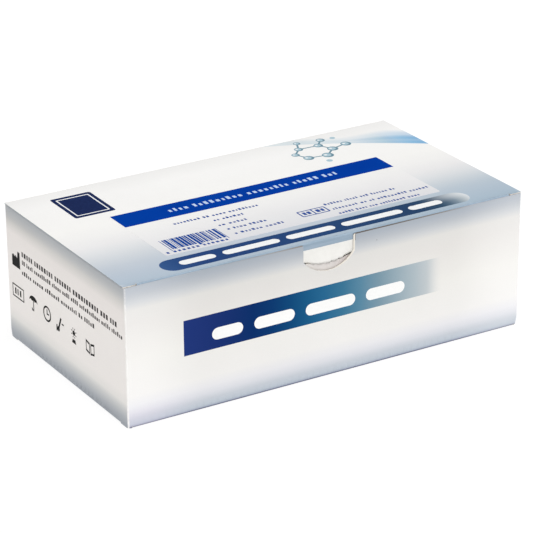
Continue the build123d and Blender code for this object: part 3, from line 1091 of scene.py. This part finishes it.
body_mats = [sides_print_and_shade(), print_banner(), plain_ink("knockout_white", colour(244, 244, 243), colour(248, 248, 247)),
             plain_ink("ink_black", colour(12, 12, 13), colour(30, 29, 31)), board_white(), board_inside(),
             cut_edge(a=(240, 236, 227), b=(226, 220, 209)), plain_ink("ink_grey", colour(46, 43, 46), colour(72, 69, 72)), raw_edge_gap_shade(),
             cut_edge("bare_lip", (240, 236, 227), (228, 223, 213))]
for m in body_mats:
    body.mesh.materials.append(m)
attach(body.ob, "carton")
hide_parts("carton_body")


# =========================================================================
#  lid: panel, front crease, tuck flap with its curved slit
# =========================================================================
LEAN = math.radians(1.7)       # the flap's upper part hangs close behind the front panel
fold_y, fold_z = -59.55, 69.65
turn = math.pi / 2 + LEAN
bx, bz = -math.cos(LEAN), 1 - math.sin(LEAN)
corner_d = RM / math.cos(turn / 2)
cor = (-(fold_y + bx / math.hypot(bx, bz) * corner_d), fold_z + bz / math.hypot(bx, bz) * corner_d)
Y_START = 60.1
tip_run = 19.75 / math.cos(LEAN)
tip = (cor[0] - tip_run * math.sin(LEAN), cor[1] - tip_run * math.cos(LEAN))
LIDP = Path([(-Y_START, 70.25), cor, tip], [RM])
L_FOLD0, L_FOLD1 = LIDP.marks[0], LIDP.marks[-1]
L_TIP = LIDP.length


def b_tuck(z):
    return LIDP.length_at(z, 1, L_FOLD1, L_TIP)


EAR_X, EAR_B = 103.0, 120.5
B_BLEED = b_tuck(66.9)          # where the print that runs over the fold ends
SLIT_Z, SLIT_SAG, SLIT_HW, SLIT_GAP = 60.5, 2.4, 12.3, 0.42


def lid_zone(s, b):
    if abs(s) > EAR_X + 0.05 and b <= EAR_B + 0.05:
        return "ear"
    return "lid"


def slit_line(x):
    """Height of the curved slit at x."""
    r = (SLIT_HW ** 2 + SLIT_SAG ** 2) / (2 * SLIT_SAG)
    dx = min(abs(x - NOTCH_X), SLIT_HW)
    return SLIT_Z - SLIT_SAG + r - math.sqrt(r * r - dx * dx)


def lid_sag(s, b):
    """Drop of the lid's middle, millimetres."""
    u, w = (s + LX) / (2 * LX), b / 119.6
    d = 0.30 * hump(u) * hump(w) if 0 < w < 1 else 0.0
    # a slight ripple across the middle of the lid
    d += 0.05 * hump(w) * (1 + math.sin(u * 13.0 + w * 5.0)) * hump(u) if 0 < w < 1 else 0.0
    return d


def lid_place(s, b, z):
    if z == "ear":
        p, n = np.array([b - Y_START, 70.25]), np.array([0.0, 1.0])
        if abs(s) > EAR_X:
            e = smooth((abs(s) - EAR_X) / 7.0) * smooth((b - 112.0) / 8.0)
            p = p - n * 0.06 * e
    else:
        (pp, d) = LIDP.at(b)
        p, n = pp, np.array([-d[1], d[0]])
    off = 0.0
    if b < L_FOLD0:
        off -= lid_sag(s, b)
    if z == "lid" and b > L_FOLD1 + 1.0:
        zz = p[1]
        side = zz - slit_line(s)
        fade = 1 - smooth((abs(s - NOTCH_X) - SLIT_HW * 0.55) / (SLIT_HW * 0.45 + 0.6))
        if side > 0:
            off += 0.50 * fade * (1 - smooth(side / 5.5))
        else:
            off -= 0.34 * fade * (1 - smooth(-side / 4.5))
        # the flap's free edge curls back a little
        off -= 0.25 * smooth((b - L_TIP + 6) / 6)
    p = p + n * off
    return np.array([s, -p[0], p[1]])


half_lid = [(108.5, 0.0), (108.5, -0.58), (LX - 0.3, -0.6), (LX, -0.3), (LX, EAR_B - 0.35), (LX - 0.35, EAR_B), (EAR_X + 0.42, EAR_B),
            (EAR_X + 0.38, L_FOLD0 + 0.1), (EAR_X + 0.1, L_FOLD0 - 0.2), (EAR_X - 0.16, L_FOLD0 + 0.1),
            (EAR_X - 0.16, b_tuck(69.3)), (106.9, b_tuck(69.2)), (107.3, b_tuck(68.7))]
cxr, bzr = 107.3 - 12.4, 50.5 + 12.0
corner_pts = []
for k in range(13):
    a = math.radians(90.0 * k / 12)
    corner_pts.append((cxr + 11.4 * math.cos(a) + 0.8 * (1 - k / 12), bzr - 12.0 * math.sin(a)))
half_lid += [(x, b_tuck(z)) for x, z in corner_pts]
lid_outline = half_lid + [(-x, b) for x, b in reversed(half_lid)]
lid_outline = lid_outline[::-1]          # any direction will do

slit_r = (SLIT_HW ** 2 + SLIT_SAG ** 2) / (2 * SLIT_SAG)
up_line = [(NOTCH_X - SLIT_HW + 2 * SLIT_HW * k / 24, 0) for k in range(25)]
up_line = [(x, slit_line(x)) for x, _ in up_line]
dn_line = [(x, z - SLIT_GAP * (0.6 + 0.95 * smooth((x + 2) / 11))) for x, z in reversed(up_line)]
end_r = [(NOTCH_X + SLIT_HW + 0.3 + 0.6 * math.cos(a), SLIT_Z - 0.25 + 0.6 * math.sin(a)) for a in np.radians([70, 30, -10, -50, -90])]
end_l = [(NOTCH_X - SLIT_HW - 0.3 + 0.62 * math.cos(a), SLIT_Z - 0.1 + 0.5 * math.sin(a)) for a in np.radians([270, 230, 190, 150, 110])]
slit_hole = [(x, b_tuck(z)) for x, z in up_line[1:-1] + end_r + dn_line[1:-1] + end_l]

lid_creases = [[(-EAR_X + 0.1, l), (EAR_X - 0.1, l)] for l in LIDP.marks[1:]] + [[(-EAR_X, L_FOLD0 - 0.05), (EAR_X, L_FOLD0 - 0.05)]]
lid_creases += [[(-104.0, B_BLEED), (104.0, B_BLEED)]]
lid_creases += [[(x, b_tuck(z + dz)) for x, z in up_line[::2]] for dz in (1.2, 2.8)]
lid_creases += [[(x, b_tuck(z - dz)) for x, z in up_line[::2]] for dz in (1.6, 3.2)]

M_LID, M_PILL, M_LWORD, M_SWEEP, M_TEAL, M_TEAL2, M_NAVY, M_LWHITE, M_LINSIDE, M_LEDGE, M_BLEED, M_LSIDE_SHADE = range(12)


def on_lid(poly):
    return [(x, Y_START - y) for x, y in poly]


lid_art = []
# sweep: between an upper and a lower curve that meet on the back edge
low_c, top_c = [], []
for k in range(26):
    x = 35.0 + 75.3 * k / 25
    low_c.append((x, sweep_low(x)))
    top_c.append((x, min(60.9, sweep_low(x) + sweep_width(x))))
lid_art.append((on_lid(low_c + top_c[::-1]), M_SWEEP))
# ball-and-stick figure
balls = {"a": (47.3, 34.4, 2.6), "b": (57.8, 32.9, 2.9), "c": (64.8, 39.4, 2.7), "d": (60.8, 46.9, 2.3), "e": (49.3, 47.4, 2.2),
         "f": (43.8, 41.4, 2.0), "g": (74.3, 41.9, 2.6), "h": (65.8, 52.9, 2.2), "i": (52.8, 54.9, 1.8)}
sticks = ["ab", "bc", "cd", "de", "ef", "fa", "cg", "dh", "ei"]
for a, b in sticks:
    (xa, ya, _), (xb, yb, _) = balls[a], balls[b]
    lid_art.append((on_lid(bar(xa, ya, xb, yb, 1.0)), M_TEAL))
for x, y, r in balls.values():
    r *= 1.08
    lid_art.append((on_lid(disc(x, y, r, 22)), M_TEAL))
    lid_art.append((on_lid(disc(x - 0.22 * r / 2, y + 0.22 * r / 2, r * 0.70, 18)), M_TEAL2))
    lid_art.append((on_lid(disc(x - 0.30 * r, y + 0.25 * r, r * 0.27, 10)), M_LWORD))
lid_art += [(on_lid(disc(54.3, 25.9, 1.7, 16)), M_TEAL2), (on_lid(disc(72.8, 52.4, 1.5, 16)), M_TEAL2)]
# square field near the back left corner
lid_art += [(on_lid(rounded(-90.0, 24.0, -68.2, 52.0, 1.2)), M_NAVY), (on_lid(rounded(-88.0, 26.3, -70.2, 49.7, 0.6)), M_LWORD),
            (on_lid(rounded(-87.3, 27.1, -70.9, 48.9, 0.5)), M_NAVY)]
# long band near the front, with its row of white blocks
band = rounded(-84.8, -56.7, 85.2, -43.3, 6.65, 9)
lid_art.append((on_lid(band), M_PILL))
for p in word_strokes(-75.0, 70.0, -52.4, 5.0, [5, 8, 7, 9, 5]):
    lid_art.append((on_lid(p), M_LWORD))


def lid_base_mat(s, b):
    if b > B_BLEED:
        return M_LWHITE
    if b > L_FOLD0:
        return M_BLEED
    return M_LID


def lid_edge(s, b):
    # the lid's long side edges take painted shade: a blue-grey line for the gap between lid and side panels
    return M_LSIDE_SHADE if abs(s) > LX - 0.2 and b < EAR_B - 0.5 else M_LEDGE


def lid_wear(s, b):
    w = 0.0
    if L_FOLD0 - 0.4 < b < L_FOLD1 + 0.3 and abs(s) < EAR_X:
        w = hump((b - L_FOLD0 + 0.3) / (L_FOLD1 - L_FOLD0 + 0.4)) * 0.1
    for cx in (-LX, LX):
        for cb in (0.0, EAR_B):
            w = max(w, 0.9 * (1 - smooth(math.hypot(s - cx, b - cb) / 1.3)))
    return w


lsl = Islands()
lsl.add("top0", -LX, -0.7, LX, EAR_B + 0.1, 4.58)
lsl.add("tuck0", -108.0, L_FOLD0 - 0.1, 108.0, L_TIP + 0.3, 4.4)
lsl.add("top1", -LX, -0.7, LX, EAR_B + 0.1, 2.2)
lsl.add("tuck1", -108.0, L_FOLD0 - 0.1, 108.0, L_TIP + 0.3, 2.2)


def lid_uv(pts, mid, side):
    s, b = mid
    key = "1" if side == 1 else "0"
    name = "top" if b < L_FOLD0 - 0.01 or (abs(s) > EAR_X + 0.05 and b <= EAR_B + 0.05) else "tuck"
    out = lsl.place(name + key, pts)
    if side == 2:
        out = [out[0], out[1], (out[2][0], out[2][1] + 0.001), (out[3][0], out[3][1] + 0.001)]
    return out


lid = Sheet("lid_board", lid_outline, [slit_hole], lid_creases, lid_art, lid_place, lid_zone,
            lid_base_mat, M_LINSIDE, lid_edge, flip=True, wear=lid_wear, uv=lid_uv)


def print_bleed():
    """The lid's print where it runs over the front crease onto the tuck flap."""
    m = Mat("print_bleed")
    streak = m.span(m.noise(1.4, 3.0, 0.6, stretch=(0.05, 1, 1), shift=61.0), 0.35, 0.65)
    c = m.mix(streak, colour(156, 174, 191), colour(146, 165, 182))
    wear = m.node("ShaderNodeAttribute", attribute_name="wear").outputs["Fac"]
    patchy = m.span(m.noise(1.8, 4.0, 0.65, shift=23.0), 0.45, 0.7, 0.0, 0.8)
    return m.finish(m.mix(m.math("MULTIPLY", wear, patchy), c, colour(216, 224, 230)))


def tab_white():
    """The white tuck flap, painted a little darker than board_white as shade behind the front panel, and with painted
    shade below the slit: a warm darkening in the recess seen through the notch, deepest towards its right end.
    """
    m = Mat("tab_white")
    c = m.mix(m.span(m.noise(3.0, 4.0, 0.6, shift=41.0), 0.3, 0.7), colour(233, 232, 228), colour(237, 236, 232))
    # painted shade below the slit, in the recess seen through the notch, darkest near its right hand end
    wear_and_shade = m.along(m.x, -18.0, 15.0, [(-18, colour(226, 222, 219)), (0, colour(223, 218, 215)), (6, colour(218, 211, 208)),
                                      (9.5, colour(204, 194, 190)), (12, colour(180, 168, 162)), (15, colour(222, 217, 214))])
    below = m.math("MULTIPLY", m.span(m.z, 0.0610, 0.0596), m.span(m.z, 0.0500, 0.0530))
    there = m.math("MULTIPLY", below, m.span(m.math("ABSOLUTE", m.math("SUBTRACT", m.x, NOTCH_X * MM)), 0.0175, 0.0135))
    curve = m.math("MULTIPLY", m.math("MULTIPLY", m.math("SUBTRACT", m.x, NOTCH_X * MM), m.math("SUBTRACT", m.x, NOTCH_X * MM)), 15.9)
    under = m.span(m.math("SUBTRACT", m.math("SUBTRACT", m.z, 0.0581), curve), 0.0002, -0.0003)
    return m.finish(m.mix(m.math("MULTIPLY", there, under), c, wear_and_shade), rough=0.5, fibre=0.006)


lid_mats = [lid_print_and_shade(), print_pill(), plain_ink("lid_white", colour(240, 242, 243), colour(246, 247, 247)), print_sweep(),
            plain_ink("ink_teal", colour(108, 142, 158), colour(132, 164, 178)),
            plain_ink("ink_teal_pale", colour(168, 196, 208), colour(190, 212, 222)),
            plain_ink("ink_navy", colour(24, 38, 80), colour(34, 52, 100)), tab_white(), board_inside(),
            cut_edge("cut_edge_lid", (234, 230, 223), (212, 206, 198)), print_bleed(),
            # the lid's long side edges in blue-grey, painted shade for the gap between lid and side panels
            cut_edge("cut_edge_side_shade", (176, 183, 189), (160, 168, 175))]
for m in lid_mats:
    lid.mesh.materials.append(m)
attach(lid.ob, "lid")
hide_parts("lid")


# =========================================================================
#  the hinge crease: bends between the back panel and the lid
# =========================================================================
HP = Path([(-60.75, 69.3), (-60.75, 70.25), (-Y_START, 70.25)][::1], [RM])
hx = CREASE_HALF - 0.15
h_out = [(-hx, 0.0), (hx, 0.0), (hx, HP.length), (-hx, HP.length)]


def hinge_place(s, b, z):
    (p, d) = HP.at(b)
    return np.array([s, -p[0], p[1]])


crease_lines = [[(-hx, l), (hx, l)] for l in HP.marks[1:-1]]


def hinge_wear(s, b):
    return 0.6 * hump(b / HP.length)


hsl = Islands(512)
hsl.add("a0", -hx, -0.1, hx, 1.6, 2.3)
hsl.add("a1", -hx, -0.1, hx, 1.6, 2.3)


def hinge_uv(pts, mid, side):
    out = hsl.place("a1" if side == 1 else "a0", pts)
    if side == 2:
        out = [out[0], out[1], (out[2][0], out[2][1] + 0.002), (out[3][0], out[3][1] + 0.002)]
    return out


hinge = Sheet("hinge_crease", h_out, [], crease_lines, [], hinge_place, lambda s, b: 0,
              lambda s, b: 0, 1, 2, step=3.0, wear=hinge_wear, uv=hinge_uv)


def print_hinge():
    m = Mat("print_hinge")
    c = m.mix(m.span(m.z, 0.0693, 0.0702), colour(182, 190, 199), colour(238, 239, 240))
    wear = m.node("ShaderNodeAttribute", attribute_name="wear").outputs["Fac"]
    patchy = m.span(m.noise(1.8, 4.0, 0.65, shift=23.0), 0.4, 0.66, 0.0, 1.0)
    return m.finish(m.mix(m.math("MULTIPLY", wear, patchy), c, colour(250, 250, 249)))


for m in (print_hinge(), board_inside(), cut_edge()):
    hinge.mesh.materials.append(m)
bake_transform(hinge.ob)


# =========================================================================
#  label on the lid
# =========================================================================
LB = (-75.8, -39.1, 77.1, 17.5)
L_PAPER, L_BLUE, L_WORD, L_INK, L_BARS, L_UNDER, L_RIM = range(7)
label_art = [(rect(-75.3, 1.5, 76.6, 17.35), L_BLUE)]
for p in letter_blocks(-47.7, 47.4, 7.7, 3.6, [4, 9, 8, 5, 3], tall=0.6, gap=0.42, space=0.95, width=(0.34, 0.54)):
    label_art.append((p, L_WORD))
for x0, x1, y, words in ((-53.9, -7.6, -7.5, [8, 2, 4, 9]), (-35.4, -19.2, -13.5, [2, 6]), (-36.5, -21.3, -20.2, [2, 5]),
                         (-35.4, -14.2, -26.4, [1, 4, 5]), (-35.0, -8.5, -32.9, [1, 6, 5]),
                         (19.6, 60.1, -24.6, [6, 5, 3, 6, 2]), (20.2, 75.1, -31.5, [8, 2, 2, 9, 6]),
                         (19.8, 65.9, -37.7, [5, 4, 3, 9, 4])):
    for p in letter_blocks(x0, x1, y, 2.2, words, tall=0.62, gap=0.34, space=0.85, width=(0.36, 0.62)):
        label_art.append((p, L_INK))
# small split frame
label_art += [(rounded(2.7, -32.1, 18.3, -24.9, 0.9), L_INK), (rounded(3.45, -31.35, 10.1, -25.65, 0.5), L_PAPER),
              (rounded(10.8, -31.35, 17.55, -25.65, 0.5), L_PAPER)]
for p in letter_blocks(4.7, 8.9, -30.1, 3.3, [2], gap=0.2) + letter_blocks(12.0, 16.4, -30.1, 3.3, [2], gap=0.2):
    label_art.append((p, L_INK))
# bar code: plain stripes of mixed widths with longer ones at the ends and in the middle, and a row of blocks under it
x = -70.5
while x < -39.6:
    w = float(rng.choice([0.4, 0.75, 1.1, 1.45], p=[0.36, 0.32, 0.20, 0.12]))
    g = float(rng.choice([0.3, 0.6, 0.9], p=[0.58, 0.28, 0.14]))
    long_one = x < -69.2 or abs(x + 55.2) < 0.9 or x > -41.0
    label_art.append((rect(x, -35.2 if long_one else -33.7, min(x + w, -39.3), -21.5), L_BARS))
    x += w + g
for p in letter_blocks(-74.1, -41.5, -37.3, 2.0, [1, 6, 6], gap=0.4, space=0.9, width=(0.45, 0.62)):
    label_art.append((p, L_INK))


def label_place(s, b, z):
    # it follows the lid it is stuck to
    (pp, d) = LIDP.at(Y_START - b)
    return np.array([s, b, 70.5 + 0.045 - lid_sag(s, Y_START - b)])


msl = Islands(512, 3)
cutx = -9.5
msl.add("l0", LB[0], LB[1], cutx, LB[3], 4.35)
msl.add("r0", cutx, LB[1], LB[2], LB[3], 4.35)
msl.add("u1", LB[0], LB[1], LB[2], LB[3], 0.25)


def label_uv(pts, mid, side):
    if side == 1:
        return msl.place("u1", pts)
    out = msl.place("l0" if mid[0] < cutx else "r0", pts)
    if side == 2:
        out = [out[0], out[1], (out[2][0], out[2][1] + 0.002), (out[3][0], out[3][1] + 0.002)]
    return out


label = Sheet("lid_label_paper", rounded(LB[0], LB[1], LB[2], LB[3], 1.2, 5), [], [[(cutx, LB[1]), (cutx, LB[3])]], label_art, label_place,
              lambda s, b: 0, lambda s, b: L_PAPER, L_UNDER, L_RIM, thickness=0.09, uv=label_uv)


def painted_shade_paper(name="label_paper"):
    m = Mat(name)
    # painted shade: the plain paper darker towards the front, for light falling off across the lid
    stops = [(-39.1, colour(222, 223, 227)), (-28, colour(228, 229, 231)), (-16, colour(235, 235, 236)), (-2, colour(241, 241, 240)),
             (17.5, colour(243, 243, 242))]
    return m.finish(m.along(m.y, -39.1, 17.5, stops), rough=0.36)


def label_blue():
    m = Mat("label_blue")
    c = m.mix(m.span(m.noise(18.0, 2.0, 0.5, shift=71.0), 0.3, 0.7), colour(0, 56, 154), colour(0, 60, 159))
    return m.finish(c, rough=0.34, spec=0.006)


for m in (painted_shade_paper(), label_blue(), plain_ink("label_white", colour(196, 214, 240), colour(168, 194, 232)),
          plain_ink("label_ink", colour(44, 76, 148), colour(70, 100, 166)), plain_ink("label_bars", colour(0, 62, 146), colour(22, 84, 160)),
          board_inside(), painted_shade_paper("label_rim_painted_shade")):
    label.mesh.materials.append(m)
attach(label.ob, "lid")
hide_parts("lid_label")


# =========================================================================
#  floor, light, camera
# =========================================================================
me = bpy.data.meshes.new("floor")
me.from_pydata([(-4, -4, -0.0002), (4, -4, -0.0002), (4, 8, -0.0002), (-4, 8, -0.0002)], [], [(0, 1, 2, 3)])
floor = bpy.data.objects.new("floor", me)
bpy.context.scene.collection.objects.link(floor)
fm = bpy.data.materials.new("floor")
fm.use_nodes = True
t = fm.node_tree
t.nodes.clear()
o = t.nodes.new("ShaderNodeOutputMaterial")
add = t.nodes.new("ShaderNodeAddShader")
d = t.nodes.new("ShaderNodeBsdfDiffuse")
d.inputs[0].default_value = (0.22, 0.22, 0.22, 1)
e = t.nodes.new("ShaderNodeEmission")
e.inputs[0].default_value = (1, 1, 1, 1)
e.inputs[1].default_value = 0.83
t.links.new(d.outputs[0], add.inputs[0])
t.links.new(e.outputs[0], add.inputs[1])
t.links.new(add.outputs[0], o.inputs[0])
me.materials.append(fm)

world = bpy.data.worlds.new("studio")
bpy.context.scene.world = world
world.use_nodes = True
wt = world.node_tree
bg = wt.nodes["Background"]
bg.inputs[1].default_value = 1.0
co = wt.nodes.new("ShaderNodeTexCoord")
sx = wt.nodes.new("ShaderNodeSeparateXYZ")
wt.links.new(co.outputs["Generated"], sx.inputs[0])


def world_span(socket, a, b):
    n = wt.nodes.new("ShaderNodeMapRange")
    n.interpolation_type = "SMOOTHSTEP"
    wt.links.new(socket, n.inputs[0])
    n.inputs[1].default_value, n.inputs[2].default_value = a, b
    return n.outputs[0]


def world_mix(fac, a, b):
    n = wt.nodes.new("ShaderNodeMix")
    n.data_type = "RGBA"
    wt.links.new(fac, n.inputs[0])
    for socket, v in ((n.inputs[6], a), (n.inputs[7], b)):
        if isinstance(v, tuple):
            socket.default_value = v + (1.0,)
        else:
            wt.links.new(v, socket)
    return n.outputs[2]


# bright room in front, dimmer and warmer to the left, dark behind the carton
sky = world_mix(world_span(sx.outputs[1], -0.35, 0.45), (0.88, 0.88, 0.88), (0.14, 0.14, 0.14))
sky = world_mix(world_span(sx.outputs[0], -0.35, -0.85), sky, (0.66, 0.60, 0.56))
wt.links.new(sky, bg.inputs[0])


def sun(name, az, el, power, spread):
    light = bpy.data.lights.new(name, "SUN")
    light.energy, light.angle = power, math.radians(spread)
    ob = bpy.data.objects.new(name, light)
    a, e = math.radians(az), math.radians(el)
    at = Vector((math.sin(a) * math.cos(e), -math.cos(a) * math.cos(e), math.sin(e)))
    ob.location = at
    ob.rotation_euler = (-at).to_track_quat("-Z", "Y").to_euler()
    bpy.context.scene.collection.objects.link(ob)
    return ob


sun("top", 10.0, 78.0, 1.60, 55.0)

# camera: same standpoint and angle as the photograph
AZ, EL, ROLL = math.radians(-31.02), math.radians(23.09), math.radians(-0.42)
back = Vector((math.sin(AZ) * math.cos(EL), -math.cos(AZ) * math.cos(EL), math.sin(EL)))
fwd = -back
right = fwd.cross(Vector((0, 0, 1))).normalized()
up = right.cross(fwd)
r2 = right * math.cos(ROLL) + up * math.sin(ROLL)
u2 = -right * math.sin(ROLL) + up * math.cos(ROLL)
eye = Vector((0, 0, 0.03525)) - fwd * 1.2551 + r2 * 0.001073 - u2 * 0.001186
cam = bpy.data.cameras.new("camera")
cam.lens, cam.sensor_width = 172.8, 36.0
cam.clip_start, cam.clip_end = 0.05, 30.0
cam_ob = bpy.data.objects.new("camera", cam)
cam_ob.matrix_world = Matrix(((r2[0], u2[0], back[0], eye[0]), (r2[1], u2[1], back[1], eye[1]),
                              (r2[2], u2[2], back[2], eye[2]), (0, 0, 0, 1)))
bpy.context.scene.collection.objects.link(cam_ob)
bpy.context.scene.camera = cam_ob

bpy.context.scene.view_settings.view_transform = "Standard"
bpy.context.scene.view_settings.look = "None"

bpy.context.view_layer.update()
